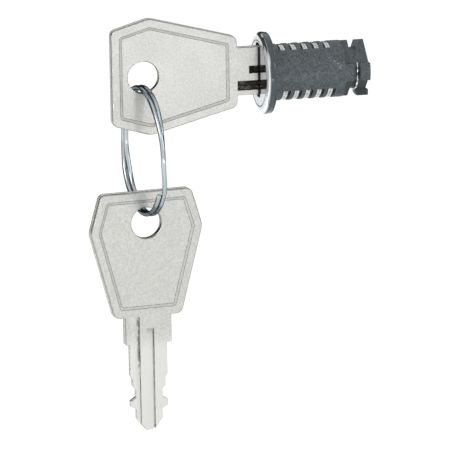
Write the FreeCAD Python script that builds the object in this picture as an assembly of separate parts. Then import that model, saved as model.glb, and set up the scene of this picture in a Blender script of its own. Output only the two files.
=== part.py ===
import FreeCAD, Part
import math
import os
from FreeCAD import Vector

# The removable core of a cabinet lock, with its key in and a spare key on a split ring.
# Lengths are millimetres. X runs along the barrel from the key side to the tail, Z is up,
# and the origin is on the barrel's axis, at the back face of the head.

# Barrel of the core
barrel_radius = 6.5
barrel_length = 22.6

# Head of the core, a zinc disc inside a spun cap
head_radius = 9.45
head_thickness = 1.95
cap_sheet = 0.35
cap_front_round = 0.95
cap_back_round = 0.15
cap_slot_height = 12.6
cap_slot_width = 2.9
cap_slot_round = 0.8
lip_thickness = 0.35
lip_step = 0.15
lip_round = 0.12

# How far the middle of the keyway stands above the barrel's axis
keyway_rise = 0.8

# Recess in the head that takes the shoulders of the key
recess_depth = 1.15
recess_height = 12.2
recess_width = 2.6

# Tail of the core: a square on its corner, two side ribs, a groove and a foot
tail_length = 5.7
tail_rib_height = 4.0
groove_width = 1.4
groove_floor_radius = 4.7
groove_from_end = 2.4
groove_slant = 0.6
groove_slant_depth = 1.3
foot_reach = 0.7
foot_width = 3.0
foot_height = 1.5

# Flat snap clip in the tail's groove
clip_thickness = 0.4
clip_width = 0.45
clip_end_height = 2.0

# Key blade, shank and bow
key_thickness = 2.2
blade_half = 4.335
blade_length = 20.5
shank_half = 5.5
shank_length = 6.5
bow_length = 29.2
bow_end_half = 10.85
bow_half = 13.48
bow_widest_from_end = 8.94
bow_neck_half = 8.1
bow_end_round = 1.6
bow_side_round = 4.0
bow_neck_round = 1.6
bow_edge_chamfer = 0.2
shoulder_round = 0.25

# Hole for the ring, and the coined panel on both faces of the bow
hole_radius = 3.6
hole_from_end = 7.37
hole_chamfer = 0.25
panel_inset = 1.8
panel_slope = 0.55
panel_depth = 0.25
panel_corner_round = 1.0

# Grooves milled along each face of the key
groove_depth = 0.6
middle_groove_low = -0.5
middle_groove_high = 1.2
middle_groove_start = 2.76
side_groove_high = -2.2

# Bitting, cut alike into both edges of the blade
cut_depths = [0.0, 0.0, 0.54, 1.29, 0.0]
flat_before = 0.85
flat_after = 0.95
last_flat_after = 0.45
bit_round = 0.12
neck_half = 2.95
neck_flank = 0.86
point_length = 2.6
point_half = 0.9
point_round = 0.75

# Wafers, a pair of thin leaves in each slot, and their springs
wafer_pitch = 2.64
first_wafer_x = 2.9
leaf_thickness = 0.5
leaf_gap = 0.05
leaf_radius = 6.4
leaf_half = 2.6
far_ear = 4.3
near_ear_top = 3.25
near_ear_bottom = 5.4
ear_height = 3.0
window_half = 1.25
window_gap = 0.06
spring_wire_radius = 0.08
spring_coil_radius = 0.32
spring_turns = 3
spring_steps_per_turn = 10
spring_wire_sides = 6

# Mouths of a wafer slot, wider than the slot and set off along the barrel
mouth_floor_radius = 5.55
top_mouth_width = 1.6
top_mouth_shift = -0.2
bottom_mouth_width = 1.84
bottom_mouth_shift = 0.25

# Clearances, and how far a cutting form runs past what it cuts
run_past = 1.0
key_gap = 0.12
shoulder_gap = 0.1
slot_gap = 0.05
ward_gap = 0.1
spring_end_gap = 0.01
clip_floor_gap = 0.03
clip_edge_gap = 0.05
shelf_half = 0.3
tip_room = 0.3
neck_room = 0.35

# Split ring and how it hangs
ring_outer_radius = 15.0
ring_wire_radius = 0.54
ring_turn_gap = 0.05
ring_start_angle = -33.0
ring_cross_angle = 46.0
ring_yaw = 5.5
ring_check_points = 361
ring_hang_gap = 0.45
spare_hang_gap = 0.8

# Travel of the key, and of the wafers that follow it
key_travel = 24.0
wafer_travel = 0.8

# Places worked out from the sizes
cap_front_x = -head_thickness
head_front_x = cap_front_x + cap_sheet
lip_x = -lip_thickness
recess_floor_x = cap_front_x + recess_depth
shoulder_x = recess_floor_x - shoulder_gap
shank_start_x = shoulder_x - shank_length
bow_end_x = shank_start_x - bow_length
widest_x = bow_end_x + bow_widest_from_end
hole_x = bow_end_x + hole_from_end
tip_x = shoulder_x + blade_length
tail_x = barrel_length - tail_length
groove_end_x = barrel_length - groove_from_end
groove_start_x = groove_end_x - groove_width
wafer_count = len(cut_depths)
last_wafer_x = first_wafer_x + wafer_pitch * (wafer_count - 1)
last_land_x = last_wafer_x + last_flat_after
slot_half_length = leaf_thickness + leaf_gap / 2 + slot_gap
keyway_half = blade_half + key_gap
keyway_half_width = key_thickness / 2 + key_gap
ring_radius = ring_outer_radius - ring_wire_radius
ring_offset = ring_wire_radius + ring_turn_gap / 2
ring_top = Vector(hole_x, 0, keyway_rise - hole_radius + ring_wire_radius + ring_hang_gap)
ring_centre = ring_top - Vector(0, 0, ring_radius)
ring_bottom = ring_centre - Vector(0, 0, ring_radius)
spare_hole = ring_bottom - Vector(0, 0, hole_radius - ring_wire_radius - spare_hang_gap)


def wafer_x(number):
    """Where the middle of a wafer slot stands along the barrel."""
    return first_wafer_x + wafer_pitch * number


def block(x_span, y_span, z_span):
    """A block between two values on each axis."""
    low = Vector(x_span[0], y_span[0], z_span[0])
    return Part.makeBox(x_span[1] - x_span[0], y_span[1] - y_span[0], z_span[1] - z_span[0], low)


def rod(radius, x_span):
    """A cylinder on the barrel's axis."""
    return Part.makeCylinder(radius, x_span[1] - x_span[0], Vector(x_span[0], 0, 0), Vector(1, 0, 0))


def outline(corners, across, up, origin=Vector(0, 0, 0)):
    """A closed wire through corners (a, b, radius), with an arc at each corner that has a radius."""
    points = [origin + across * a + up * b for a, b, radius in corners]
    pieces = []
    for i, (a, b, radius) in enumerate(corners):
        here = points[i]
        back = (points[i - 1] - here).normalize()
        on = (points[(i + 1) % len(points)] - here).normalize()
        half_angle = back.getAngle(on) / 2
        reach = radius / math.tan(half_angle)
        depth = radius / math.sin(half_angle) - radius
        middle = here + (back + on).normalize() * depth
        pieces.append((here + back * reach, middle, here + on * reach))
    edges = []
    for i, (start, middle, end) in enumerate(pieces):
        if corners[i][2] > 0:
            edges.append(Part.Arc(start, middle, end).toShape())
        edges.append(Part.makeLine(end, pieces[(i + 1) % len(pieces)][0]))
    return Part.Wire(edges)


def turned(corners):
    """A solid of revolution about the barrel's axis from corners (x, radius from axis, rounding)."""
    face = Part.Face(outline(corners, Vector(1, 0, 0), Vector(0, 1, 0)))
    return face.revolve(Vector(0, 0, 0), Vector(1, 0, 0), 360)


def arc_from(start, way, end):
    """The arc that leaves start along way and ends at end."""
    chord = end - start
    along = Vector(chord).normalize()
    side = (way - along * way.dot(along)).normalize()
    rise = chord.Length / 2 * math.tan(way.getAngle(chord) / 2)
    return Part.Arc(start, (start + end) / 2 + side * rise, end).toShape()


def two_arcs(start, start_way, end, end_way):
    """Two arcs that meet smoothly between two places with given directions."""
    span = end - start
    ways = start_way + end_way
    spread = 2 * (1 - start_way.dot(end_way))
    reach = (math.sqrt(span.dot(ways) ** 2 + spread * span.dot(span)) - span.dot(ways)) / spread
    meeting = (start + start_way * reach + end - end_way * reach) / 2
    return [arc_from(start, start_way, meeting), arc_from(end, -end_way, meeting)]


def smooth_path(stations):
    """One smooth line of arcs through stations (place, direction)."""
    edges = []
    for (start, start_way), (end, end_way) in zip(stations, stations[1:]):
        edges += two_arcs(start, start_way, end, end_way)
    return Part.Wire(Part.__sortEdges__(edges))


def least_gap(points, wire_radius, skip):
    """The least room from a tube to itself, over points of its middle line that lie skip or more apart."""
    distances = [a.distanceToPoint(b) for i, a in enumerate(points) for b in points[i + skip:]]
    return min(distances) - 2 * wire_radius


def head():
    """The zinc disc under the cap, with the lip that shows behind it."""
    return turned([
        (head_front_x, 0, 0),
        (head_front_x, head_radius - cap_sheet, cap_front_round - cap_sheet),
        (lip_x, head_radius - cap_sheet, 0),
        (lip_x, head_radius - lip_step, 0),
        (0, head_radius - lip_step, lip_round),
        (0, 0, 0),
    ])


def tail():
    """The driving end: flats, side ribs, the clip's groove and the foot below."""
    span = (tail_x, barrel_length)
    r = barrel_radius
    square = Part.makePolygon([Vector(tail_x, y, z) for y, z in ((0, r), (-r, 0), (0, -r), (r, 0), (0, r))])
    flats = Part.Face(square).extrude(Vector(tail_length, 0, 0))
    ribs = block(span, (-r, r), (-tail_rib_height / 2, tail_rib_height / 2))
    foot_z = (-r, -r + foot_height)
    foot = block((groove_end_x, barrel_length + foot_reach), (-foot_width / 2, foot_width / 2), foot_z)
    form = flats.fuse([ribs, foot]).common(rod(r, (tail_x, barrel_length + foot_reach)))
    groove_span = (groove_start_x, groove_end_x)
    form = form.cut(rod(r + run_past, groove_span).cut(rod(groove_floor_radius, groove_span)))
    slant_reach = groove_slant * (1 + run_past / groove_slant_depth)
    slant = Part.makePolygon([
        Vector(groove_end_x, -r, -r + groove_slant_depth),
        Vector(groove_end_x, -r, -r - run_past),
        Vector(groove_end_x + slant_reach, -r, -r - run_past),
        Vector(groove_end_x, -r, -r + groove_slant_depth),
    ])
    return form.cut(Part.Face(slant).extrude(Vector(0, 2 * r, 0)))


def groove_blocks(x_span, outer, gap):
    """What fills the key's grooves, or with a gap the wards that stand in them, on both faces."""
    inner = key_thickness / 2 - groove_depth + gap
    middle = block(x_span, (-outer, -inner), (middle_groove_low + gap, middle_groove_high - gap))
    side = block(x_span, (-outer, -inner), (-blade_half - gap, side_groove_high - gap))
    front = middle.fuse(side)
    back = front.copy()
    back.rotate(Vector(0, 0, 0), Vector(1, 0, 0), 180)
    return front.fuse(back)


def keyway():
    """The room for the key: the shoulder recess, the warded way and the narrow end for the point."""
    neck_x = last_land_x + neck_flank + neck_room
    end_x = tip_x + tip_room
    recess = block((head_front_x - run_past, recess_floor_x),
                   (-recess_width / 2, recess_width / 2), (-recess_height / 2, recess_height / 2))
    way = block((recess_floor_x - recess_depth / 2, neck_x),
                (-keyway_half_width, keyway_half_width), (-keyway_half, keyway_half))
    point_half_height = neck_half + neck_room
    point = block((neck_x - run_past, end_x),
                  (-keyway_half_width, keyway_half_width), (-point_half_height, point_half_height))
    wards = groove_blocks((recess_floor_x, end_x), keyway_half_width + key_gap, ward_gap)
    room = way.fuse(point).cut(wards).fuse(recess)
    room.translate(Vector(0, 0, keyway_rise))
    return room


def wafer_slot(number):
    """One slot through the barrel, with pockets beside the leaves and a wider mouth at each end."""
    x = wafer_x(number)
    span = (x - slot_half_length, x + slot_half_length)
    column = leaf_half + slot_gap
    over = barrel_radius + run_past
    ends = [
        (1, near_ear_top, top_mouth_width, top_mouth_shift),
        (-1, near_ear_bottom, bottom_mouth_width, bottom_mouth_shift),
    ]
    slot = block(span, (-column, column), (-over, over))
    for way, near_ear, mouth_width, mouth_shift in ends:
        y_span = (-near_ear - slot_gap, far_ear + slot_gap)
        pocket = block(span, y_span, sorted((way * shelf_half, way * over)))
        mouth_span = (x + mouth_shift - mouth_width / 2, x + mouth_shift + mouth_width / 2)
        mouth = block(mouth_span, y_span, sorted((way * ear_height, way * over)))
        slot = slot.fuse([pocket, mouth.cut(rod(mouth_floor_radius, mouth_span))])
    return slot


def plug_body():
    """The die-cast core: head, barrel and tail in one, cut for the key and the wafers."""
    body = head().fuse([rod(barrel_radius, (0, tail_x)), tail()])
    body = body.cut(keyway())
    for number in range(wafer_count):
        body = body.cut(wafer_slot(number))
    return body.removeSplitter()


def face_cap():
    """The bright cap spun over the head, with the slot for the key."""
    inner = head_radius - cap_sheet
    cap = turned([
        (cap_front_x, 0, 0),
        (cap_front_x, head_radius, cap_front_round),
        (lip_x, head_radius, cap_back_round),
        (lip_x, inner, 0),
        (head_front_x, inner, cap_front_round - cap_sheet),
        (head_front_x, 0, 0),
    ])
    a = cap_slot_width / 2
    b = cap_slot_height / 2
    corners = [(y, z, cap_slot_round) for y, z in ((-a, -b), (a, -b), (a, b), (-a, b))]
    slot_start = Vector(cap_front_x - run_past, 0, keyway_rise)
    slot = Part.Face(outline(corners, Vector(0, 1, 0), Vector(0, 0, 1), slot_start))
    return cap.cut(slot.extrude(Vector(cap_sheet + 2 * run_past, 0, 0)))


def window_reach(number):
    """How far the worn edge of a leaf's window stands from the axis.

    It clears the blade's last full-height land on the way out, while the leaf rises with the key."""
    rise = wafer_travel / key_travel
    land_passes = last_land_x - wafer_x(number) + slot_half_length
    return blade_half + window_gap + rise * land_passes


def wafer_leaf(number, up):
    """One leaf of a pair: the first lifts with the key, the second is its like turned over."""
    x = wafer_x(number)
    start = x - leaf_gap / 2 - leaf_thickness if up else x + leaf_gap / 2
    span = (start, start + leaf_thickness)
    way = 1 if up else -1
    near_ears = (near_ear_top, near_ear_bottom) if up else (near_ear_bottom, near_ear_top)
    column = block(span, (-leaf_half, leaf_half), (-leaf_radius, leaf_radius))
    own_ears = block(span, (-near_ears[0], far_ear), sorted((way * ear_height, way * leaf_radius)))
    other_ear = block(span, (-near_ears[1], 0), sorted((-way * leaf_radius, -way * ear_height)))
    window_ends = (keyway_rise - way * window_reach(number), keyway_rise + way * (blade_half + key_gap))
    window = block(span, (-window_half, window_half), sorted(window_ends))
    leaf = rod(leaf_radius, span).common(column.fuse([own_ears, other_ear])).cut(window)
    return leaf.removeSplitter()


def spring_line():
    """Points along the middle of a spring's wire, with the spring upright on the axis of its coil."""
    low = shelf_half + spring_wire_radius + spring_end_gap
    high = ear_height - spring_wire_radius - spring_end_gap
    steps = spring_turns * spring_steps_per_turn
    points = []
    for step in range(steps + 1):
        angle = 2 * math.pi * step / spring_steps_per_turn
        out = Vector(math.cos(angle), math.sin(angle), 0)
        points.append(out * spring_coil_radius + Vector(0, 0, low + (high - low) * step / steps))
    return points


def wafer_spring(number, up):
    """The coil spring in the pocket behind, between the barrel's shelf and the leaf's ear."""
    middle = Vector(wafer_x(number), (leaf_half + far_ear) / 2, 0)
    sections = []
    for place in spring_line():
        out = Vector(place.x, place.y, 0).normalize()
        corners = []
        for side in range(spring_wire_sides):
            angle = 2 * math.pi * side / spring_wire_sides
            reach = out * math.cos(angle) + Vector(0, 0, math.sin(angle))
            corners.append(middle + place + reach * spring_wire_radius)
        sections.append(Part.makePolygon(corners + corners[:1]))
    spring = Part.makeLoft(sections, True, True)
    if not up:
        spring = spring.mirror(Vector(0, 0, 0), Vector(0, 0, 1))
    return spring


def retaining_clip():
    """The flat snap clip round the floor of the tail's groove, open at the top."""
    inner = groove_floor_radius + clip_floor_gap
    outer = inner + clip_width
    back = groove_end_x - clip_edge_gap
    front = back - clip_thickness
    corners = [(front, inner, 0), (back, inner, 0), (back, outer, 0), (front, outer, 0)]
    section = Part.Face(outline(corners, Vector(1, 0, 0), Vector(0, 1, 0)))
    end_angle = math.degrees(math.asin(clip_end_height / outer))
    section.rotate(Vector(0, 0, 0), Vector(1, 0, 0), 180 - end_angle)
    return section.revolve(Vector(0, 0, 0), Vector(1, 0, 0), 180 + 2 * end_angle)


def bitting():
    """Corners of the blade's upper edge, from the shoulder to the point."""
    corners = []
    depth = 0.0
    for number, next_depth in enumerate(cut_depths):
        if next_depth != depth:
            corners.append((wafer_x(number - 1) + flat_after, blade_half - depth, bit_round))
            corners.append((wafer_x(number) - flat_before, blade_half - next_depth, bit_round))
        depth = next_depth
    corners.append((last_land_x, blade_half - depth, bit_round))
    corners.append((last_land_x + neck_flank, neck_half, bit_round))
    corners.append((tip_x - point_length, neck_half, point_round))
    corners.append((tip_x, point_half, point_round))
    return corners


def mirrored(corners):
    """Corners of a closed outline from those of its upper half."""
    return corners + [(a, -b, radius) for a, b, radius in reversed(corners)]


def bow_corners(inset=0.0):
    """The six corners of the bow, or with an inset those of a like outline inside it."""
    corners = mirrored([
        (bow_end_x, bow_end_half, bow_end_round),
        (widest_x, bow_half, bow_side_round),
        (shank_start_x, bow_neck_half, bow_neck_round),
    ])
    if inset == 0:
        return corners
    moved = []
    for i, (a, b, radius) in enumerate(corners):
        here = Vector(a, b, 0)
        back = (Vector(corners[i - 1][0], corners[i - 1][1], 0) - here).normalize()
        after = corners[(i + 1) % len(corners)]
        on = (Vector(after[0], after[1], 0) - here).normalize()
        inward = (back + on).normalize() * (inset / math.sin(back.getAngle(on) / 2))
        moved.append((a + inward.x, b + inward.y, panel_corner_round))
    return moved


def panel():
    """What the coining takes out of one face of the bow."""
    x_way = Vector(1, 0, 0)
    z_way = Vector(0, 0, 1)
    face_y = -key_thickness / 2
    rim = outline(bow_corners(panel_inset), x_way, z_way, Vector(0, face_y, 0))
    floor = outline(bow_corners(panel_inset + panel_slope), x_way, z_way, Vector(0, face_y + panel_depth, 0))
    return Part.makeLoft([rim, floor], True, True)


def bow():
    """The flat grip of the key, with its edges broken, a coined panel on each face and the ring's hole."""
    across = Vector(1, 0, 0)
    up = Vector(0, 0, 1)
    half = key_thickness / 2
    plate = Part.Face(outline(bow_corners(), across, up, Vector(0, -half, 0)))
    plate = plate.extrude(Vector(0, key_thickness, 0))
    rims = [edge for edge in plate.Edges if edge.BoundBox.YLength < half]
    plate = plate.makeChamfer(bow_edge_chamfer, rims)
    front_panel = panel()
    cuts = [front_panel, front_panel.mirror(Vector(0, 0, 0), Vector(0, 1, 0))]
    start = Vector(hole_x, -key_thickness, 0)
    cuts.append(Part.makeCylinder(hole_radius, 2 * key_thickness, start, Vector(0, 1, 0)))
    for way in (-1, 1):
        base = Vector(hole_x, way * (half - panel_depth), 0)
        wide = hole_radius + hole_chamfer
        cuts.append(Part.makeCone(wide, hole_radius, hole_chamfer, base, Vector(0, -way, 0)))
    return plate.cut(cuts)


def blade():
    """The shank and the blade, cut on both edges and grooved on both faces.

    The root of the shoulder is no rounder than the room in front of it."""
    half = key_thickness / 2
    corners = mirrored([
        (shank_start_x - bow_edge_chamfer - bow_end_round, shank_half, 0),
        (shoulder_x, shank_half, shoulder_round),
        (shoulder_x, blade_half, shoulder_gap),
    ] + bitting())
    face = Part.Face(outline(corners, Vector(1, 0, 0), Vector(0, 0, 1), Vector(0, -half, 0)))
    plate = face.extrude(Vector(0, key_thickness, 0))
    grooves = groove_blocks((shank_start_x, tip_x + run_past), key_thickness, 0.0)
    late_start = block((shank_start_x, shank_start_x + middle_groove_start),
                       (-key_thickness, key_thickness), (side_groove_high, -side_groove_high))
    return plate.cut(grooves.cut(late_start))


def flat_key():
    """A flat key with both edges cut alike, its middle on the barrel's axis."""
    return bow().fuse(blade()).removeSplitter()


def lock_key():
    """The key where it stands in the keyway."""
    key = flat_key()
    key.translate(Vector(0, 0, keyway_rise))
    return key


def spare_key():
    """The same key, hanging point down from the bottom of the ring."""
    spare = flat_key()
    spare.translate(Vector(-hole_x, 0, 0))
    spare.rotate(Vector(0, 0, 0), Vector(0, 1, 0), 90)
    spare.rotate(Vector(0, 0, 0), Vector(0, 0, 1), ring_yaw)
    spare.translate(spare_hole)
    return spare


def ring_line():
    """The middle of the ring's wire: two turns side by side, with the crossing between the wire's ends."""
    yaw = math.radians(ring_yaw)
    normal = Vector(math.cos(yaw), math.sin(yaw), 0)
    near = Vector(math.sin(yaw), -math.cos(yaw), 0)
    up = Vector(0, 0, 1)
    flat = 360 - ring_cross_angle
    turned_by = [flat * part / 4 for part in range(5)] + [360 + flat * part / 4 for part in range(5)]
    stations = []
    for passed in turned_by:
        angle = math.radians(ring_start_angle - passed)
        offset = -ring_offset if passed < 360 else ring_offset
        place = ring_centre + (near * math.cos(angle) + up * math.sin(angle)) * ring_radius + normal * offset
        stations.append((place, near * math.sin(angle) - up * math.cos(angle)))
    return smooth_path(stations)


def split_ring():
    """The ring of round spring wire."""
    line = ring_line()
    first = line.Edges[0]
    place = first.valueAt(first.FirstParameter)
    way = first.tangentAt(first.FirstParameter)
    section = Part.Wire(Part.makeCircle(ring_wire_radius, place, way))
    return line.makePipeShell([section], True, False)


def main():
    """Write one file for each piece."""
    pieces = {
        "plug_body": plug_body(),
        "face_cap": face_cap(),
        "retaining_clip": retaining_clip(),
        "lock_key": lock_key(),
        "split_ring": split_ring(),
        "spare_key": spare_key(),
    }
    for number in range(wafer_count):
        for name, up in (("upper", True), ("lower", False)):
            pieces["wafer_%d_%s" % (number + 1, name)] = wafer_leaf(number, up)
            pieces["wafer_spring_%d_%s" % (number + 1, name)] = wafer_spring(number, up)
    os.makedirs("parts", exist_ok=True)
    for name, shape in pieces.items():
        shape.exportStep("parts/%s.step" % name)
        print(name, shape.ShapeType, len(shape.Solids), shape.isValid(), round(shape.Volume, 2))
    spring_gap = least_gap(spring_line(), spring_wire_radius, spring_steps_per_turn // 2)
    print("least gap of a wafer spring to itself", round(spring_gap, 3))
    ring_points = ring_line().discretize(Number=ring_check_points)
    ring_gap = least_gap(ring_points, ring_wire_radius, ring_check_points // 4)
    print("least gap of the ring's wire to itself", round(ring_gap, 3))


main()
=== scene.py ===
import math
import bmesh
import bpy
from mathutils import Matrix, Vector


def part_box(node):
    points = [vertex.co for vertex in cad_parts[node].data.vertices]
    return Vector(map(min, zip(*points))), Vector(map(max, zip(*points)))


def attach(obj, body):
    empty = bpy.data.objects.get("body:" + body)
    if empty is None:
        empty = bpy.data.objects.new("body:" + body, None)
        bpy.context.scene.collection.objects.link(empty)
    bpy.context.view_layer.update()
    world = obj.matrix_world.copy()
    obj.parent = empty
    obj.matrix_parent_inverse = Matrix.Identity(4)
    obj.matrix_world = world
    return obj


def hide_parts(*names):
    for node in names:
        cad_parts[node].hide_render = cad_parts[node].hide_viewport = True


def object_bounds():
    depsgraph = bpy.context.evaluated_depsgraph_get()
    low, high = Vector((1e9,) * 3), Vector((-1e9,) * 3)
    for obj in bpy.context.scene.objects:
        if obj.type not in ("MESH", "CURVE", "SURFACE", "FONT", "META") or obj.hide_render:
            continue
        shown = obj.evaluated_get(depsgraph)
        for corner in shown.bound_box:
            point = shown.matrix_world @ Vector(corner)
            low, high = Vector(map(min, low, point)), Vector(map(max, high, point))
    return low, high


# A removable cabinet lock core with its key in, and a spare key on a split ring.
# X runs along the barrel from the key side to the tail, and Z is up. Lengths are metres.
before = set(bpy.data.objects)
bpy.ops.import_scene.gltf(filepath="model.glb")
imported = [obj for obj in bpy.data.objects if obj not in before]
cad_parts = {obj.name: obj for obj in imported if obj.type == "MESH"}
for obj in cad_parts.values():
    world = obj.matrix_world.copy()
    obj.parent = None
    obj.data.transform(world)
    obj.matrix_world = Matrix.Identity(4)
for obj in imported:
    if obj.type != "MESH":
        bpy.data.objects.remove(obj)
cad_low, cad_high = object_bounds()


# The core is one zinc die casting, matt and dark grey, with the fine grain of its mould.
# Handling has rubbed small bright specks into it, most at the corner where the tail begins.
zinc_light = (0.144, 0.163, 0.173)
zinc_dark = (0.045, 0.054, 0.060)
zinc_rubbed = (0.33, 0.36, 0.37)
# The colour the tail is darkened towards, and that of the painted shade in the pocket and under the barrel.
zinc_darkened = (0.030, 0.034, 0.037)
zinc_grain = 0.0003
zinc_cloud = 0.0013
zinc_speck = 0.00035
zinc_fleck = 0.0002
casting_relief = 0.00002
casting_edge = 0.00005
tail_start_x = (0.0166, 0.0172)
pocket_top_z = (-0.0023, -0.0019)
underside_z = (-0.0055, -0.0030)
# How far the tail is darkened, and how strong the painted shade is in the pocket and under the barrel.
tail_darkening = 0.12
pocket_painted_shade = 0.85
underside_painted_shade = 0.4
speck_share = 0.35
rubbed_share = 0.22
rubbed_reach = 0.0011
rubbed_spots = (
    (0.0134, -0.0055, 0.0034),
    (0.0143, -0.0057, 0.0030),
    (0.0151, -0.0060, 0.0024),
    (0.0157, -0.0062, 0.0015),
)


class Finish:
    """A metal surface in the making, with the shader and the textures that feed it."""

    def __init__(self, name, roughness, metallic=1.0):
        self.material = bpy.data.materials.new(name)
        self.material.use_nodes = True
        self.tree = self.material.node_tree
        self.shader = self.tree.nodes["Principled BSDF"]
        self.shader.inputs["Roughness"].default_value = roughness
        self.shader.inputs["Metallic"].default_value = metallic
        self.place = self.tree.nodes.new("ShaderNodeTexCoord").outputs["Object"]
        self.surface = None

    def put(self, value, socket):
        """A value or another node's output into a socket."""
        if isinstance(value, bpy.types.NodeSocket):
            self.tree.links.new(value, socket)
        elif isinstance(value, tuple) and socket.type == "RGBA":
            socket.default_value = (*value, 1)
        else:
            socket.default_value = value

    def node(self, kind, inputs, **settings):
        """A node with its settings, whose inputs are values or other nodes' outputs."""
        made = self.tree.nodes.new("ShaderNode" + kind)
        for name, value in settings.items():
            setattr(made, name, value)
        for name, value in inputs.items():
            self.put(value, made.inputs[name])
        return made

    def grain(self, size, seed=0.0, stretch=(1, 1, 1), detail=3.0):
        """Cloudy noise from 0 to 1 with features of about this size, drawn out by stretch."""
        scale = [1 / (size * s) for s in stretch]
        place = self.node("Mapping", {"Vector": self.place, "Scale": scale}).outputs["Vector"]
        inputs = {"Vector": place, "W": seed, "Scale": 1.0, "Detail": detail, "Roughness": 0.6}
        return self.node("TexNoise", inputs, noise_dimensions="4D").outputs["Fac"]

    def step(self, value, low, high, start=0.0, end=1.0):
        """Start below low, end above high, and a smooth passage between."""
        inputs = {"Value": value, "From Min": low, "From Max": high, "To Min": start, "To Max": end}
        return self.node("MapRange", inputs, interpolation_type="SMOOTHSTEP").outputs["Result"]

    def reckon(self, kind, a, b):
        """What a Math node of this kind makes of two values."""
        made = self.node("Math", {}, operation=kind)
        self.put(a, made.inputs[0])
        self.put(b, made.inputs[1])
        return made.outputs["Value"]

    def plus(self, a, b):
        return self.reckon("ADD", a, b)

    def times(self, a, b):
        return self.reckon("MULTIPLY", a, b)

    def larger(self, a, b):
        return self.reckon("MAXIMUM", a, b)

    def blend(self, share, first, second):
        """A colour between two, each a value or a node's output."""
        mix = self.node("Mix", {}, data_type="RGBA")
        self.put(share, mix.inputs["Factor"])
        self.put(first, mix.inputs[6])
        self.put(second, mix.inputs[7])
        return mix.outputs[2]

    def colour(self, value):
        self.put(value, self.shader.inputs["Base Color"])

    def roughness(self, value):
        self.put(value, self.shader.inputs["Roughness"])

    def bump(self, height, depth, strength=1.0):
        """Relief of this depth, laid over what is there already."""
        inputs = {"Height": height, "Distance": depth, "Strength": strength}
        if self.surface:
            inputs["Normal"] = self.surface
        self.surface = self.node("Bump", inputs).outputs["Normal"]
        self.put(self.surface, self.shader.inputs["Normal"])

    def film(self, tint):
        """A thin clear film that darkens what is seen through it aslant: a painted dark reflection along the
        edges.
        """
        self.shader.inputs["Coat Weight"].default_value = 1.0
        self.shader.inputs["Coat IOR"].default_value = 1.0
        self.put(tint, self.shader.inputs["Coat Tint"])

    def along(self, axis):
        """How far a place on the object lies along X, Y or Z."""
        return self.node("SeparateXYZ", {"Vector": self.place}).outputs[axis]

    def near(self, spot, reach):
        """1 at a spot on the object, fading to 0 at reach."""
        away = self.node("VectorMath", {}, operation="DISTANCE")
        self.put(self.place, away.inputs[0])
        away.inputs[1].default_value = spot
        return self.step(away.outputs["Value"], 0.0, reach, 1.0, 0.0)


same_place = 0.000001
sharp_corner = math.radians(40)


def soften(piece, width):
    """Joins a body's facets and rounds its sharp edges."""
    piece.modifiers.new("weld", "WELD").merge_threshold = same_place
    bevel = piece.modifiers.new("edges", "BEVEL")
    bevel.width = width
    bevel.segments = 2
    bevel.limit_method = "ANGLE"
    bevel.angle_limit = sharp_corner
    piece.modifiers.new("shading", "WEIGHTED_NORMAL").keep_sharp = True


def dress(piece, material):
    """Gives a whole piece one material."""
    piece.data.materials.clear()
    piece.data.materials.append(material)


zinc = Finish("zinc_casting", 0.5, 0.6)
fine = zinc.grain(zinc_grain, seed=1.0)
cloud = zinc.grain(zinc_cloud, seed=2.0)
speck_places = zinc.step(zinc.grain(zinc_speck, seed=3.0, detail=2.0), 0.69, 0.73)
brightened = 0.0
for spot in rubbed_spots:
    brightened = zinc.larger(brightened, zinc.near(spot, rubbed_reach))
flecks = zinc.grain(zinc_fleck, seed=3.5, stretch=(4, 1, 1), detail=4.0)
brightened = zinc.step(zinc.plus(flecks, zinc.times(brightened, rubbed_share)), 0.67, 0.78)
specks = zinc.larger(zinc.times(speck_places, speck_share), brightened)
mottle = zinc.plus(fine, zinc.times(cloud, 0.35))
tone = zinc.blend(zinc.step(mottle, 0.5, 0.85), zinc_dark, zinc_light)
# The tail is painted a little darker all over, and painted shade darkens the pocket in the tail and the
# underside of the barrel.
on_tail = zinc.step(zinc.along("X"), *tail_start_x)
in_pocket = zinc.times(on_tail, zinc.step(zinc.along("Z"), *pocket_top_z, 1, 0))
underneath = zinc.step(zinc.along("Z"), *underside_z, underside_painted_shade, 0)
darkening = zinc.larger(zinc.times(on_tail, tail_darkening), underneath)
darkening = zinc.larger(zinc.times(in_pocket, pocket_painted_shade), darkening)
tone = zinc.blend(darkening, tone, zinc_darkened)
zinc.colour(zinc.blend(specks, tone, zinc_rubbed))
zinc.roughness(zinc.step(fine, 0.3, 0.7, 0.42, 0.58))
zinc.bump(fine, casting_relief, 0.7)
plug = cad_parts["plug_body"]
dress(plug, zinc.material)
soften(plug, casting_edge)


# Ten wafer leaves of nickel-plated brass strip, punched to shape, stand in pairs in the slots.
# Each has a coil spring of bright wire behind its ear.
wafer_light = (0.74, 0.75, 0.75)
wafer_shade = (0.30, 0.32, 0.32)
wafer_streak = 0.0002
wafer_relief = 0.00001
leaf_edge = 0.00004
spring_light = (0.68, 0.68, 0.67)
spring_shade = (0.5, 0.5, 0.5)
spring_grain = 0.0001

wafer_finish = Finish("wafer_nickel", 0.22)
streaks = wafer_finish.grain(wafer_streak, seed=4.0, stretch=(6, 1, 1))
wafer_mix = wafer_finish.step(streaks, 0.35, 0.65)
wafer_finish.colour(wafer_finish.blend(wafer_mix, wafer_shade, wafer_light))
wafer_finish.bump(streaks, wafer_relief, 0.5)
spring_finish = Finish("spring_wire", 0.25)
drawn = spring_finish.grain(spring_grain, seed=5.0)
spring_finish.colour(spring_finish.blend(drawn, spring_shade, spring_light))
for name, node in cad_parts.items():
    if name.startswith("wafer_spring"):
        dress(node, spring_finish.material)
    elif name.startswith("wafer"):
        dress(node, wafer_finish.material)
        soften(node, leaf_edge)


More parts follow.
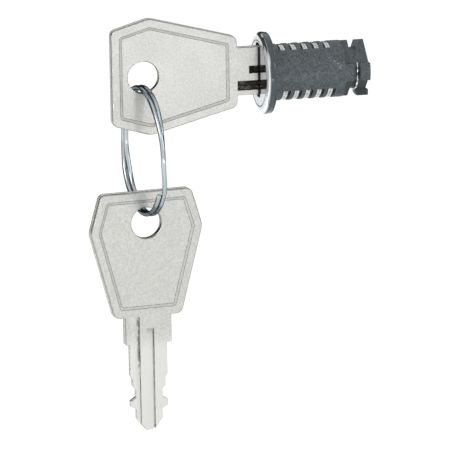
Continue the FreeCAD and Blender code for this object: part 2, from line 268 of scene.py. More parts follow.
# A flat snap clip of bright spring steel lies in the groove of the tail.
# It is blanked from strip, and shows only where the side rib leaves the groove open.
clip_light = (0.85, 0.86, 0.87)
clip_shade = (0.12, 0.13, 0.14)
clip_mark = 0.0009
clip_edge = 0.00006

clip_finish = Finish("clip_steel", 0.2)
clip_marks = clip_finish.step(clip_finish.grain(clip_mark, seed=6.0), 0.4, 0.6)
clip_finish.colour(clip_finish.blend(clip_marks, clip_shade, clip_light))
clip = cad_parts["retaining_clip"]
dress(clip, clip_finish.material)
soften(clip, clip_edge)


# A bright chrome-plated cap is spun over the head. Its flat face ends in a fine rolled line,
# its rim is rounded, and the slot for the key is punched above its middle.
cap_colour = (0.66, 0.685, 0.715)
cap_smear = (0.58, 0.605, 0.635)
# A painted highlight on the front of the rounded rim, and a painted dark reflection over its back part.
cap_painted_highlight = (0.93, 0.94, 0.95)
cap_painted_dark = (0.085, 0.10, 0.11)
# Painted shade in the rolled line, in patches.
rolled_line_shade = (0.11, 0.12, 0.13)
smear_size = 0.004
polish_mark = 0.0012
rolled_line_patch = 0.001

cap_low, cap_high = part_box("face_cap")
cap_proud = 0.0003
cap_front = cap_low.x - cap_proud
cap_length = cap_high.x - cap_front
cap_radius = cap_high.z
cap_sheet = 0.00035 + cap_proud
cap_inside = 0.00095 + cap_proud
cap_wall = 0.00035
crown_width = 0.00175
crown_depth = 0.0011
cap_tuck = 0.00012
cap_lip = 0.0001
cap_sides = 128
# Where the painted highlight and the painted dark reflection begin and end, behind the face.
highlight_from = cap_front + 0.00004
highlight_to = cap_front + 0.0002
dark_reflection_from = cap_front + 0.00035
dark_reflection_to = cap_front + 0.0008
rolled_width = 0.00026
rolled_depth = 0.00009
rolled_shares = (0.35, 0.65)
skirt_shares = (0.4, 0.7, 0.92)
crown_steps = 16
slot_middle = 0.0008
slot_half_height = 0.0063
slot_half_width = 0.0017
slot_round = 0.0008
slot_edge = 0.00008
least_radius = 0.00001
wide_radius = 0.0007
wide_turn = math.radians(8)
small_turn = math.radians(25)


def outline(corners, inset=0.0):
    """Points (a, b, edge) of a closed outline, moved inwards by inset times each corner's edge.

    The corners are (a, b, radius, edge), clockwise. Each becomes an arc, with more points on wide ones."""
    points = []
    for i, (a, b, radius, edge) in enumerate(corners):
        here = Vector((a, b))
        back = (Vector(corners[i - 1][:2]) - here).normalized()
        on = (Vector(corners[(i + 1) % len(corners)][:2]) - here).normalized()
        half = back.angle(on) / 2
        middle = (back + on).normalized()
        move = inset * edge
        if back.x * on.y - back.y * on.x > 0:
            here = here + middle * (move / math.sin(half))
            new_radius = max(radius - move, least_radius)
        else:
            here = here - middle * (move / math.sin(half))
            new_radius = radius + move
        turn = math.pi - 2 * half
        steps = max(3, math.ceil(turn / (wide_turn if radius > wide_radius else small_turn)))
        reach = new_radius / math.tan(half)
        centre = here + middle * (new_radius / math.sin(half))
        first = here + back * reach - centre
        last = here + on * reach - centre
        for step in range(steps + 1):
            share = step / steps
            first_part = math.sin((1 - share) * turn) / math.sin(turn)
            last_part = math.sin(share * turn) / math.sin(turn)
            place = centre + first * first_part + last * last_part
            points.append((place.x, place.y, edge))
    return points


def circle(radius, count, middle=0.0):
    """Points (a, b, 1) round a circle, clockwise."""
    turns = [2 * math.pi * i / count for i in range(count)]
    return [(middle + radius * math.sin(t), radius * math.cos(t), 1.0) for t in turns]


def loop_of(bm, points, place):
    """A loop of vertices, each where place puts its point."""
    return [bm.verts.new(place(a, b, edge)) for a, b, edge in points]


def bridge(bm, first, second, material=0):
    """Faces between two loops of as many vertices."""
    for i in range(len(first)):
        on = (i + 1) % len(first)
        bm.faces.new((first[i], first[on], second[on], second[i])).material_index = material


def fill(bm, loops, normal):
    """The flat face between loops."""
    edges = []
    for loop in loops:
        for i in range(len(loop)):
            pair = (loop[i - 1], loop[i])
            edges.append(bm.edges.get(pair) or bm.edges.new(pair))
    bmesh.ops.triangle_fill(bm, use_beauty=True, edges=edges, normal=normal)


def finished_mesh(bm, name):
    """The mesh of a closed form, with its faces turned outwards."""
    bmesh.ops.recalc_face_normals(bm, faces=bm.faces)
    mesh = bpy.data.meshes.new(name)
    bm.to_mesh(mesh)
    bm.free()
    return mesh


smooth_turn = math.radians(30)


def add_piece(name, mesh, materials):
    """An object of this mesh, smooth between its sharp edges, with these materials."""
    piece = bpy.data.objects.new(name, mesh)
    bpy.context.scene.collection.objects.link(piece)
    for material in materials:
        mesh.materials.append(material)
    mesh.polygons.foreach_set("use_smooth", [True] * len(mesh.polygons))
    mesh.set_sharp_from_angle(angle=smooth_turn)
    piece.modifiers.new("shading", "WEIGHTED_NORMAL").keep_sharp = True
    return piece


def cap_profile():
    """(radius, depth) from the rolled line round the rim and into the cap."""
    line = cap_radius - crown_width - rolled_width
    profile = [(line, 0.0)]
    profile += [(line + share * rolled_width, rolled_depth) for share in rolled_shares]
    for step in range(crown_steps + 1):
        turn = math.pi / 2 * step / crown_steps
        profile.append((cap_radius - crown_width * (1 - math.sin(turn)), crown_depth * (1 - math.cos(turn))))
    for share in skirt_shares:
        depth = crown_depth + (cap_length - crown_depth) * share
        profile.append((cap_radius - cap_tuck * share ** 2, depth))
    profile.append((cap_radius - cap_tuck - cap_lip, cap_length))
    profile.append((cap_radius - cap_wall, cap_length))
    profile.append((cap_radius - cap_wall, cap_inside))
    profile.append((cap_radius - cap_wall - cap_inside + cap_sheet, cap_sheet))
    return profile


def cap_mesh():
    """The spun cap with its punched slot, whose edge is rounded at the front.

    The rolled line takes the second material."""
    bm = bmesh.new()
    loops = []
    for radius, depth in cap_profile():
        loops.append(loop_of(bm, circle(radius, cap_sides), lambda a, b, edge: (cap_front + depth, a, b)))
    for number, (first, second) in enumerate(zip(loops, loops[1:])):
        bridge(bm, first, second, 1 if number <= len(rolled_shares) else 0)
    a = slot_half_width
    low = slot_middle - slot_half_height
    high = slot_middle + slot_half_height
    corners = [(y, z, slot_round, 1.0) for y, z in ((-a, high), (a, high), (a, low), (-a, low))]
    slot = []
    for turn in (0, 30, 60, 90):
        inset = -slot_edge * (1 - math.sin(math.radians(turn)))
        depth = slot_edge * (1 - math.cos(math.radians(turn)))
        slot.append(loop_of(bm, outline(corners, inset), lambda y, z, edge: (cap_front + depth, y, z)))
    slot.append(loop_of(bm, outline(corners), lambda y, z, edge: (cap_front + cap_sheet, y, z)))
    for first, second in zip(slot, slot[1:]):
        bridge(bm, first, second)
    fill(bm, [loops[0], slot[0]], (-1, 0, 0))
    fill(bm, [loops[-1], slot[-1]], (1, 0, 0))
    return finished_mesh(bm, "cap")


cap_finish = Finish("cap_chrome", 0.1)
smeared = cap_finish.blend(cap_finish.grain(smear_size, seed=7.0), cap_smear, cap_colour)
# The front of the rounded rim is painted with a highlight, and its back part with a dark reflection.
highlight_share = cap_finish.step(cap_finish.along("X"), highlight_from, highlight_to)
dark_share = cap_finish.step(cap_finish.along("X"), dark_reflection_from, dark_reflection_to)
cap_finish.colour(cap_finish.blend(dark_share, cap_finish.blend(highlight_share, smeared, cap_painted_highlight), cap_painted_dark))
polish = cap_finish.grain(polish_mark, seed=8.0)
cap_finish.roughness(cap_finish.step(polish, 0.3, 0.7, 0.06, 0.14))
# The rolled line is painted dark, as shade.
rolled_line = Finish("cap_rolled_line", 0.4)
line_patches = rolled_line.grain(rolled_line_patch, seed=8.5)
rolled_line.colour(rolled_line.blend(line_patches, rolled_line_shade, cap_painted_dark))
cap = add_piece("spun_cap", cap_mesh(), [cap_finish.material, rolled_line.material])
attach(cap, "barrel")
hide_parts("face_cap")


# The keys are stamped from nickel silver sheet 2.2 mm thick, with rounded edges. The bow has a coined
# panel on each face and a hole for the ring. Both edges are bitted alike, and both faces grooved.
key_colour = (0.575, 0.575, 0.552)
key_shade = (0.455, 0.455, 0.435)
# The spare's tones above are painted a little lighter than the lock key's, for the lamp light it gets less
# of.
lock_key_colour = (0.565, 0.565, 0.545)
lock_key_shade = (0.450, 0.450, 0.432)
key_pit = (0.30, 0.30, 0.28)
# Painted light: the blade is painted lighter, where less lamp light reaches it.
key_blade_painted_light = (0.66, 0.66, 0.64)
# A band of painted shade where the key goes into the cap's slot.
slot_painted_shade = (0.06, 0.06, 0.055)
# Tint of the film that paints a faint dark reflection along the keys' rounded edges.
rim_film = (0.80, 0.80, 0.79)
torn_clean = (0.80, 0.80, 0.78)
# Painted shade in the grooves of the key in the lock, in streaks and patches. The last tone is also that of
# the painted shade on the panel's step and of the darker patches in the spare's grooves.
groove_shade_darkest = (0.022, 0.020, 0.018)
groove_shade_lighter = (0.13, 0.125, 0.11)
key_dark_tone = (0.09, 0.088, 0.08)
torn_edge = (0.42, 0.42, 0.41)
key_mottle = 0.0004
mottle_relief = 0.000008
drawn_line = 0.00012
drawn_relief = 0.000003
pit_size = 0.0006
polish_patch = 0.006
darker_patch = 0.0006
step_line_patch = 0.0008
torn_grain = 0.00045
torn_relief = 0.00003
wall_patch = 0.0005
# Sizes of the streaks and patches of painted shade in the grooves.
groove_shade_streak = 0.00035
groove_shade_patch = 0.0005
streak_relief = 0.00001

key_low, key_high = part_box("lock_key")
key_middle = (key_low.z + key_high.z) / 2
key_half = key_high.y
bow_end_x = key_low.x
tip_x = key_high.x
bow_half = 0.01345
shank_start_x = bow_end_x + 0.0292
shoulder_x = tip_x - 0.0205
bow_end_half = 0.01085
bow_corner = 0.0016
bow_swell = 0.004
widest_x = bow_end_x + 0.00894
bow_neck_half = 0.0081
shank_half = 0.0055
blade_half = 0.004335
neck_half = 0.00295
shank_root = 0.0003
shank_corner = 0.00025
shoulder_root = 0.0001
first_cut_x = 0.0029
cut_pitch = 0.00264
flat_before = 0.00085
flat_after = 0.00095
last_flat_after = 0.00045
# Where the painted light along the blade begins and ends.
blade_light_start_x = shank_start_x + 0.003
blade_light_end_x = shoulder_x + 0.002
cut_depths = (0.0, 0.0, 0.00054, 0.00129, 0.0)
cut_round = 0.00012
last_slope = 0.00086
tip_length = 0.0026
tip_half = 0.0009
tip_round = 0.00075
bow_edge = 0.00028
blade_edge = 0.0001
edge_steps = 5
torn_half = 0.0005
hole_x = bow_end_x + 0.00737
hole_radius = 0.0036
hole_edge = 0.00025
hole_sides = 72
panel_inset = 0.0018
panel_slope = 0.0008
panel_depth = 0.00025
panel_rounding = 0.0002
panel_round = 0.001
# The strips along the top and foot of the panel's step that are painted dark, as shade.
dark_strips = (1, 2, 6, 7)
rim, root, torn = 1, 2, 3
groove_depth = 0.0006
groove_draft = 0.00008
middle_groove = (-0.0005, 0.0012)
side_groove = (-0.00435, -0.0022)
middle_start_x = shank_start_x + 0.00276
side_start_x = shank_start_x + 0.00005
middle_run_out = 0.0016
side_run_out = 0.0002
run_out_steps = 6
cutter_entry = 0.00005
entry_share = -0.1
cutter_lift = 0.0005
cutter_overrun = 0.001
# Where the painted shade in the grooves comes in, on their floors and on their walls.
floor_shade_x = (shank_start_x - 0.001, shank_start_x + 0.001)
wall_shade_x = (shank_start_x - 0.002, shank_start_x)
# How far the band of painted shade reaches before and behind the cap's front.
shade_before = (0.0005, 0.0002)
shade_behind = (0.0003, 0.0005)
darker_below = 0.0008
darker_above = (0.0004, 0.0006)
darker_reach = (0.008, 0.016)


def key_corners():
    """Corners (x, z, radius, edge rounding) of the key's outline, clockwise from the bow's end."""
    upper = [
        (bow_end_x, bow_end_half, bow_corner, bow_edge),
        (widest_x, bow_half, bow_swell, bow_edge),
        (shank_start_x, bow_neck_half, bow_corner, bow_edge),
        (shank_start_x, shank_half, shank_root, blade_edge),
        (shoulder_x, shank_half, shank_corner, blade_edge),
        (shoulder_x, blade_half, shoulder_root, blade_edge),
    ]
    depth = 0.0
    for number, next_depth in enumerate(cut_depths):
        cut_x = first_cut_x + cut_pitch * number
        if next_depth != depth:
            upper.append((cut_x - cut_pitch + flat_after, blade_half - depth, cut_round, blade_edge))
            upper.append((cut_x - flat_before, blade_half - next_depth, cut_round, blade_edge))
        depth = next_depth
    last_x = cut_x + last_flat_after
    upper.append((last_x, blade_half, cut_round, blade_edge))
    upper.append((last_x + last_slope, neck_half, cut_round, blade_edge))
    upper.append((tip_x - tip_length, neck_half, tip_round, blade_edge))
    upper.append((tip_x, tip_half, tip_round, blade_edge))
    return upper + [(x, -z, radius, edge) for x, z, radius, edge in reversed(upper)]


def panel_corners():
    """Corners of the bow alone, for the outlines of the coined panel inside it."""
    bow = [corner for corner in key_corners() if corner[3] == bow_edge]
    return [(x, z, panel_round + panel_inset, 1.0) for x, z, radius, edge in bow]


def step_profile(width, depth, rounding, parts=4):
    """(distance, depth) across a step that is rounded at its top and at its root."""
    slope = depth / (width - rounding)
    top = [(rounding * i / parts, slope * rounding * (i / parts) ** 2 / 2) for i in range(parts + 1)]
    root = [(width - distance, depth - below) for distance, below in reversed(top)]
    return top + root


def flat_key_mesh():
    """The key but for its grooves: one face to half the thickness, and the same turned over.

    Its rounded edges take the material of the rim, the painted shade at the top and foot of the panel's step
    that of the root, and the middle of the sheared edge the torn one."""
    bm = bmesh.new()

    def loop(points, depth):
        return loop_of(bm, points, lambda a, b, edge: (a, -key_half + depth(edge), b))

    corners = key_corners()
    loops = [
        loop(outline(corners), lambda edge: key_half),
        loop(outline(corners), lambda edge: key_half - torn_half),
    ]
    for step in range(edge_steps + 1):
        angle = math.pi / 2 * step / edge_steps
        points = outline(corners, 1 - math.cos(angle))
        loops.append(loop(points, lambda edge: edge * (1 - math.sin(angle))))
    for number, (first, second) in enumerate(zip(loops, loops[1:])):
        bridge(bm, first, second, torn if number == 0 else rim)
    panel = []
    for distance, below in step_profile(panel_slope, panel_depth, panel_rounding):
        points = outline(panel_corners(), panel_inset + distance)
        panel.append(loop(points, lambda edge: below))
    for number, (first, second) in enumerate(zip(panel, panel[1:])):
        bridge(bm, first, second, root if number in dark_strips else 0)
    fill(bm, [loops[-1], panel[0]], (0, -1, 0))
    hole = []
    for turn in (0, 22.5, 45, 67.5, 90):
        wider = hole_edge * (1 - math.sin(math.radians(turn)))
        below = panel_depth + hole_edge * (1 - math.cos(math.radians(turn)))
        hole.append(loop(circle(hole_radius + wider, hole_sides, hole_x), lambda edge: below))
    hole.append(loop(circle(hole_radius, hole_sides, hole_x), lambda edge: key_half))
    for first, second in zip(hole, hole[1:]):
        bridge(bm, first, second, rim)
    fill(bm, [panel[-1], hole[0]], (0, -1, 0))
    other = bmesh.ops.duplicate(bm, geom=bm.verts[:] + bm.edges[:] + bm.faces[:])["geom"]
    other = [part for part in other if isinstance(part, bmesh.types.BMVert)]
    bmesh.ops.rotate(bm, verts=other, matrix=Matrix.Rotation(math.pi, 3, "X"))
    bmesh.ops.remove_doubles(bm, verts=bm.verts, dist=same_place)
    return finished_mesh(bm, "flat_key")


def groove_cutter():
    """What the milling cutters take out of both faces, with run-outs where they enter.

    The floor of each groove takes the first material and its walls the second."""
    bm = bmesh.new()
    spans = [
        (middle_groove, middle_start_x, middle_run_out),
        (side_groove, side_start_x, side_run_out),
    ]
    for (low, high), start, run_out in spans:
        stations = [(start - cutter_entry, entry_share)]
        for step in range(run_out_steps + 1):
            share = step / run_out_steps
            stations.append((start + run_out * share, share * (2 - share)))
        stations.append((tip_x + cutter_overrun, 1.0))
        for turn in (0, math.pi):
            c, s = math.cos(turn), math.sin(turn)
            rings = []
            for x, share in stations:
                depth = groove_depth * share
                draft = groove_draft * max(share, 0.0)
                section = [
                    (-key_half - cutter_lift, low - groove_draft),
                    (-key_half - cutter_lift, high + groove_draft),
                    (-key_half + depth, high + groove_draft - draft),
                    (-key_half + depth, low - groove_draft + draft),
                ]
                rings.append([bm.verts.new((x, c * y - s * z, s * y + c * z)) for y, z in section])
            bm.faces.new(rings[0])
            bm.faces.new(rings[-1])
            for first, second in zip(rings, rings[1:]):
                bridge(bm, first, second, 1)
                floor_edge = bm.edges.get((first[2], first[3]))
                for face in floor_edge.link_faces:
                    if second[2] in face.verts and second[3] in face.verts:
                        face.material_index = 0
    return finished_mesh(bm, "grooves")


same_plane = math.radians(0.5)


def grooved(mesh, key_materials, cutter_materials):
    """The key's mesh with its grooves milled, their floors and walls in materials of their own."""
    blank = add_piece("blank", mesh, key_materials)
    blank.modifiers.clear()
    cutter = add_piece("cutter", groove_cutter(), cutter_materials)
    milling = blank.modifiers.new("milling", "BOOLEAN")
    milling.operation = "DIFFERENCE"
    milling.solver = "EXACT"
    milling.material_mode = "TRANSFER"
    milling.object = cutter
    bpy.context.view_layer.update()
    done = bpy.data.meshes.new_from_object(blank.evaluated_get(bpy.context.evaluated_depsgraph_get()))
    bpy.data.objects.remove(blank)
    bpy.data.objects.remove(cutter)
    bm = bmesh.new()
    bm.from_mesh(done)
    bmesh.ops.dissolve_limit(
        bm, angle_limit=same_plane, verts=bm.verts, edges=bm.edges, delimit={"MATERIAL"}
    )
    bm.to_mesh(done)
    bm.free()
    return done


def nickel(name, rough_low, rough_high, seed, tones=(key_colour, key_shade), slot_shade_x=None, darker_z=None):
    """Satin nickel with mottled grain, fine drawn lines and a few dark pits, painted lighter on the blade
    for the lamp light it lacks.

    A band of painted shade lies across the face at the x given for the cap's slot, where the key goes in,
    and the colour turns darker in patches beside a groove's wall at the z given for it."""
    made = Finish(name, rough_low)
    light, dark = tones
    mottle = made.grain(key_mottle, seed=seed)
    lines = made.grain(drawn_line, seed=seed + 0.2, stretch=(14, 1, 1), detail=1.0)
    pits = made.step(made.grain(pit_size, seed=seed + 0.4, detail=1.0), 0.775, 0.80)
    patch = made.grain(polish_patch, seed=seed + 0.6)
    tone = made.blend(made.step(mottle, 0.3, 0.7), dark, light)
    # The blade is painted lighter, for the lamp light it lacks.
    brightened = made.step(made.along("X"), blade_light_start_x, blade_light_end_x, 0.0, 0.8)
    tone = made.blend(brightened, tone, key_blade_painted_light)
    # A band of painted shade where the key goes into the cap's slot.
    if slot_shade_x:
        before = made.step(made.along("X"), slot_shade_x - shade_before[0], slot_shade_x - shade_before[1])
        behind = made.step(made.along("X"), slot_shade_x + shade_behind[0], slot_shade_x + shade_behind[1], 1.0, 0.0)
        tone = made.blend(made.times(before, behind), tone, slot_painted_shade)
    if darker_z:
        below = made.step(made.along("Z"), darker_z - darker_below, darker_z)
        above = made.step(made.along("Z"), darker_z + darker_above[0], darker_z + darker_above[1], 1.0, 0.0)
        fade_start, fade_end = (shank_start_x + reach for reach in darker_reach)
        fading = made.step(made.along("X"), fade_start, fade_end, 1.0, 0.0)
        patches = made.step(made.grain(darker_patch, seed=seed + 0.8, stretch=(2, 1, 1)), 0.42, 0.55)
        share = made.times(made.times(below, above), made.times(fading, patches))
        tone = made.blend(share, tone, key_dark_tone)
    made.colour(made.blend(pits, tone, key_pit))
    made.roughness(made.step(patch, 0.3, 0.7, rough_low, rough_high))
    made.bump(mottle, mottle_relief, 0.5)
    made.bump(lines, drawn_relief, 0.4)
    return made


def shaded_groove(name, base_tone, reach, seed):
    """Nickel under painted shade, which grows in streaks from the bow's side over reach."""
    made = Finish(name, 0.42)
    streak = made.grain(groove_shade_streak, seed=seed, stretch=(5, 1, 1))
    ramp = made.step(made.along("X"), *reach)
    share = made.step(made.plus(streak, ramp), 0.75, 1.05)
    thin = made.step(made.grain(groove_shade_patch, seed=seed + 0.3, stretch=(2, 1, 1)), 0.45, 0.7)
    made.colour(made.blend(share, base_tone, made.blend(thin, groove_shade_darkest, groove_shade_lighter)))
    made.bump(streak, streak_relief, 0.6)
    return made


lock_key_face = nickel("key_nickel", 0.40, 0.45, 9.0, (lock_key_colour, lock_key_shade), cap_front)
key_rim = nickel("key_burnished", 0.14, 0.2, 10.0)
# The film paints a faint dark reflection along the rounded edges.
key_rim.film(rim_film)
# Painted shade along the top and foot of the panel's step, in patches.
painted_step_lines = Finish("key_step_painted_shade", 0.4)
step_line_patches = painted_step_lines.step(painted_step_lines.grain(step_line_patch, seed=11.0), 0.45, 0.8)
painted_step_lines.colour(painted_step_lines.blend(step_line_patches, key_dark_tone, key_shade))
key_torn = Finish("key_torn_edge", 0.6)
torn_patch = key_torn.grain(torn_grain, seed=11.5)
key_torn.colour(key_torn.blend(key_torn.step(torn_patch, 0.36, 0.5), torn_edge, torn_clean))
key_torn.bump(torn_patch, torn_relief, 0.8)
# The grooves of the key in the lock are painted with shade.
shaded_groove_floor = shaded_groove("groove_painted_shade", key_dark_tone, floor_shade_x, 12.0)
shaded_groove_wall = shaded_groove("groove_wall_painted_shade", key_dark_tone, wall_shade_x, 13.0)
edge_materials = [key_rim.material, painted_step_lines.material, key_torn.material]
lock_key_mesh = grooved(
    flat_key_mesh(),
    [lock_key_face.material] + edge_materials,
    [shaded_groove_floor.material, shaded_groove_wall.material],
)
key_one = add_piece("key_in_lock", lock_key_mesh, [])
key_one.location.z = key_middle
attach(key_one, "key")
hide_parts("lock_key")


# The split ring is nickel-plated spring wire, wound in two turns that lie side by side. Sprung by use,
# they lean over each other at the far side and towards the upper end. Both ends are cut and rounded.
ring_light = (0.97, 0.98, 0.98)
ring_shade = (0.84, 0.87, 0.88)
# Tint of the film that paints a dark reflection along the wire's edges.
ring_film = (0.57, 0.61, 0.63)
ring_low, ring_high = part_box("split_ring")
ring_middle = (ring_low + ring_high) / 2
wire_radius = 0.00054
wire_gap = 0.00003
wire_pitch = 2 * wire_radius + wire_gap
turn_radius = (ring_high.z - ring_low.z) / 2 - wire_radius
ring_yaw = math.radians(5.5)
first_end = -33.0
single_stretch = 46.0
far_lean = 78.0
far_from = (100, 146)
far_to = (160, 218)
upper_lean = 72.0
upper_from = (258, 318)
end_round = 0.00022
end_steps = 4
station_turn = 3.0
wire_sides = 20
ring_cloud = 0.0015


def smooth(value, low, high):
    """0 below low, 1 above high, and a smooth passage between."""
    share = min(max((value - low) / (high - low), 0.0), 1.0)
    return share * share * (3 - 2 * share)


def lean(passed):
    """How far the second turn leans inside the first, in degrees, by how far the wire has turned."""
    far_side = smooth(passed, *far_from) * (1 - smooth(passed, *far_to))
    upper_end = smooth(passed, *upper_from)
    return far_lean * far_side + upper_lean * upper_end


ring_axis = Vector((math.cos(ring_yaw), math.sin(ring_yaw), 0))
ring_side = Vector((math.sin(ring_yaw), -math.cos(ring_yaw), 0))


def wire_place(passed):
    """The middle of the wire, and the outward way of the ring there, after this many degrees.

    The first turn crosses over to the second's side on its last stretch."""
    if passed < 360:
        crossing = smooth(passed, 360 - single_stretch, 360)
        slip = math.radians(lean(min(passed, 360 - single_stretch))) * (1 - crossing)
        aside = -wire_pitch / 2 * math.cos(slip) * (1 - 2 * crossing)
        inwards = 0.0
    else:
        slip = math.radians(lean(passed - 360))
        aside = wire_pitch / 2 * math.cos(slip)
        inwards = wire_pitch * math.sin(slip)
    angle = math.radians(first_end - passed)
    out = ring_side * math.cos(angle) + Vector((0, 0, math.sin(angle)))
    return ring_middle + out * (turn_radius - inwards) + ring_axis * aside, out


def ring_mesh():
    """The wire's tube, with its two ends rounded off."""
    bm = bmesh.new()
    length = 720 - single_stretch
    reach = math.degrees(end_round / turn_radius)
    stations = []
    for step in range(end_steps + 1):
        turn = math.pi / 2 * step / end_steps
        stations.append((reach * (1 - math.sin(turn)), wire_radius - end_round * (1 - math.cos(turn))))
    stations.reverse()
    count = round(length / station_turn)
    inner = [(reach + (length - 2 * reach) * i / count, wire_radius) for i in range(1, count)]
    stations += inner + [(length - passed, radius) for passed, radius in reversed(stations)]
    loops = []
    for passed, radius in stations:
        middle, out = wire_place(passed)
        ring_loop = []
        for side in range(wire_sides):
            turn = 2 * math.pi * side / wire_sides
            way = out * math.cos(turn) + ring_axis * math.sin(turn)
            ring_loop.append(bm.verts.new(middle + way * radius))
        loops.append(ring_loop)
    for first, second in zip(loops, loops[1:]):
        bridge(bm, first, second)
    bm.faces.new(loops[0])
    bm.faces.new(loops[-1])
    return finished_mesh(bm, "ring")


ring_finish = Finish("ring_nickel", 0.1)
ring_tones = ring_finish.grain(ring_cloud, seed=16.0)
ring_finish.colour(ring_finish.blend(ring_tones, ring_shade, ring_light))
# The film paints a dark reflection along the wire's edges, and dims it a little all over.
ring_finish.film(ring_film)
ring = add_piece("sprung_ring", ring_mesh(), [ring_finish.material])
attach(ring, "ring")
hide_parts("split_ring")


# The spare key is the same key, and hangs point down from the ring.
# Its grooves are lighter than those of the key in the lock, and darker in patches along their walls.
spare_low, spare_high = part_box("spare_key")
spare_hole = Vector((
    (spare_low.x + spare_high.x) / 2,
    (spare_low.y + spare_high.y) / 2,
    spare_high.z - (hole_x - bow_end_x),
))
# The spare's nickel is painted a little lighter than the lock key's, for the lamp light it gets less of.
spare_key_face = nickel("spare_key_nickel", 0.40, 0.45, 9.5)
milled_floor = nickel("groove_milled", 0.36, 0.4, 14.0, darker_z=side_groove[1])
milled_wall = Finish("groove_wall_darker", 0.4)
wall_mix = milled_wall.step(milled_wall.grain(wall_patch, seed=15.0, stretch=(4, 1, 1)), 0.42, 0.6)
milled_wall.colour(milled_wall.blend(wall_mix, key_shade, key_dark_tone))
spare_mesh = grooved(
    flat_key_mesh(),
    [spare_key_face.material] + edge_materials,
    [milled_floor.material, milled_wall.material],
)
key_two = add_piece("key_on_ring", spare_mesh, [])
turned = Matrix.Rotation(ring_yaw, 4, "Z") @ Matrix.Rotation(math.pi / 2, 4, "Y")
key_two.matrix_world = Matrix.Translation(spare_hole) @ turned @ Matrix.Translation((-hole_x, 0, 0))
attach(key_two, "spare")
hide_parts("spare_key")


# The object hangs over a plain pale floor in a white studio, which the metal reflects.
# The floor is white of its own where the eye or a reflection meets it, and still takes the shadow.
floor_z = cad_low.z - 0.03
floor_reach = 4.0
square = ((-1, -1), (1, -1), (1, 1), (-1, 1))
floor_glow = 0.5
floor_colour = (0.9, 0.9, 0.9, 1)
card_colour = (0.08, 0.08, 0.08, 1)
room_light = 0.55
white = 1.0
studio_middle = Vector((-0.005, 0, -0.035))


def seen_directly(tree):
    """1 for what the eye meets straight on, in a reflection or through glass, and 0 for other light."""
    rays = tree.nodes.new("ShaderNodeLightPath")
    seen = rays.outputs["Is Camera Ray"]
    for name in ("Is Glossy Ray", "Is Transmission Ray"):
        either = tree.nodes.new("ShaderNodeMath")
        either.operation = "MAXIMUM"
        tree.links.new(seen, either.inputs[0])
        tree.links.new(rays.outputs[name], either.inputs[1])
        seen = either.outputs["Value"]
    return seen


world = bpy.data.worlds.new("studio")
bpy.context.scene.world = world
world.use_nodes = True
sky = world.node_tree
air = sky.nodes["Background"]
air.inputs["Color"].default_value = (1, 1, 1, 1)
strength = sky.nodes.new("ShaderNodeMapRange")
strength.inputs["To Min"].default_value = room_light
strength.inputs["To Max"].default_value = white
sky.links.new(seen_directly(sky), strength.inputs["Value"])
sky.links.new(strength.outputs["Result"], air.inputs["Strength"])

floor_mesh = bpy.data.meshes.new("floor")
floor_corners = [(floor_reach * a, floor_reach * b, floor_z) for a, b in square]
floor_mesh.from_pydata(floor_corners, [], [(0, 1, 2, 3)])
floor = bpy.data.objects.new("floor", floor_mesh)
bpy.context.scene.collection.objects.link(floor)
paper = bpy.data.materials.new("floor_paper")
paper.use_nodes = True
sheet = paper.node_tree
paper_shader = sheet.nodes["Principled BSDF"]
paper_shader.inputs["Base Color"].default_value = floor_colour
paper_shader.inputs["Roughness"].default_value = 0.9
paper_shader.inputs["Specular IOR Level"].default_value = 0.0
paper_shader.inputs["Emission Color"].default_value = (1, 1, 1, 1)
glow = sheet.nodes.new("ShaderNodeMath")
glow.operation = "MULTIPLY"
glow.inputs[1].default_value = floor_glow
sheet.links.new(seen_directly(sheet), glow.inputs[0])
sheet.links.new(glow.outputs["Value"], paper_shader.inputs["Emission Strength"])
floor_mesh.materials.append(paper)


def stand(made, azimuth, elevation, away):
    """Puts a lamp or a card beside the object, facing it. Azimuth 0 is the side of the near face."""
    a, e = math.radians(azimuth), math.radians(elevation)
    way = Vector((math.sin(a) * math.cos(e), -math.cos(a) * math.cos(e), math.sin(e)))
    made.location = studio_middle + way * away
    made.rotation_euler = way.to_track_quat("Z", "Y").to_euler()
    bpy.context.scene.collection.objects.link(made)


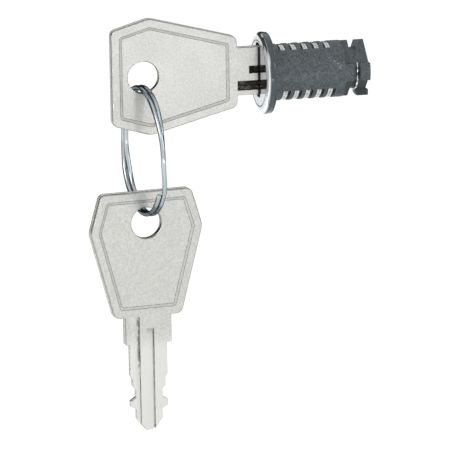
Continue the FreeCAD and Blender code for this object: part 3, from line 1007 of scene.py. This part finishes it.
def lamp(name, azimuth, elevation, away, size, power):
    """A soft square lamp."""
    light = bpy.data.lights.new(name, "AREA")
    light.size = size
    light.energy = power
    made = bpy.data.objects.new(name, light)
    made.visible_camera = False
    stand(made, azimuth, elevation, away)


lamp("lamp_left", -50, 40, 1.0, 0.5, 2.0)
lamp("lamp_right", 55, 20, 0.9, 0.4, 0.8)
lamp("lamp_front", 9, -6, 0.5, 0.04, 0.105)

black = bpy.data.materials.new("black_card")
black.use_nodes = True
black_shader = black.node_tree.nodes["Principled BSDF"]
black_shader.inputs["Base Color"].default_value = card_colour
black_shader.inputs["Specular IOR Level"].default_value = 0.0


def card(name, azimuth, elevation, away, width, height):
    """A black card that only the metal's reflections show."""
    made_mesh = bpy.data.meshes.new(name)
    corners = [(width / 2 * a, height / 2 * b, 0) for a, b in square]
    made_mesh.from_pydata(corners, [], [(0, 1, 2, 3)])
    made_mesh.materials.append(black)
    made = bpy.data.objects.new(name, made_mesh)
    for kind in ("camera", "diffuse", "shadow", "transmission", "volume_scatter"):
        setattr(made, "visible_" + kind, False)
    stand(made, azimuth, elevation, away)


card("card_left", -124, 5, 0.5, 0.46, 0.9)
card("card_right", 100, 5, 0.5, 0.46, 0.9)
card("card_back", 180, 17, 0.5, 0.6, 0.2)


# The photograph's view: from the key side and a little above, through a long lens.
# The aim and the lens put the object where the photograph has it.
aim = Vector((-0.01013, 0.0007, -0.03534))
azimuth = math.radians(-13.8)
elevation = math.radians(13.0)
roll = math.radians(-0.88)
camera_distance = 1.0
camera_back = Vector((
    math.sin(azimuth) * math.cos(elevation),
    -math.cos(azimuth) * math.cos(elevation),
    math.sin(elevation),
))
lens = bpy.data.cameras.new("camera")
lens.sensor_width = 36
lens.lens = 347.3
lens.clip_end = 20
camera = bpy.data.objects.new("camera", lens)
level = (-camera_back).to_track_quat("-Z", "Y").to_matrix().to_4x4()
camera_place = Matrix.Translation(aim + camera_back * camera_distance)
camera.matrix_world = camera_place @ level @ Matrix.Rotation(roll, 4, "Z")
bpy.context.scene.collection.objects.link(camera)
bpy.context.scene.camera = camera
bpy.context.scene.view_settings.view_transform = "Standard"
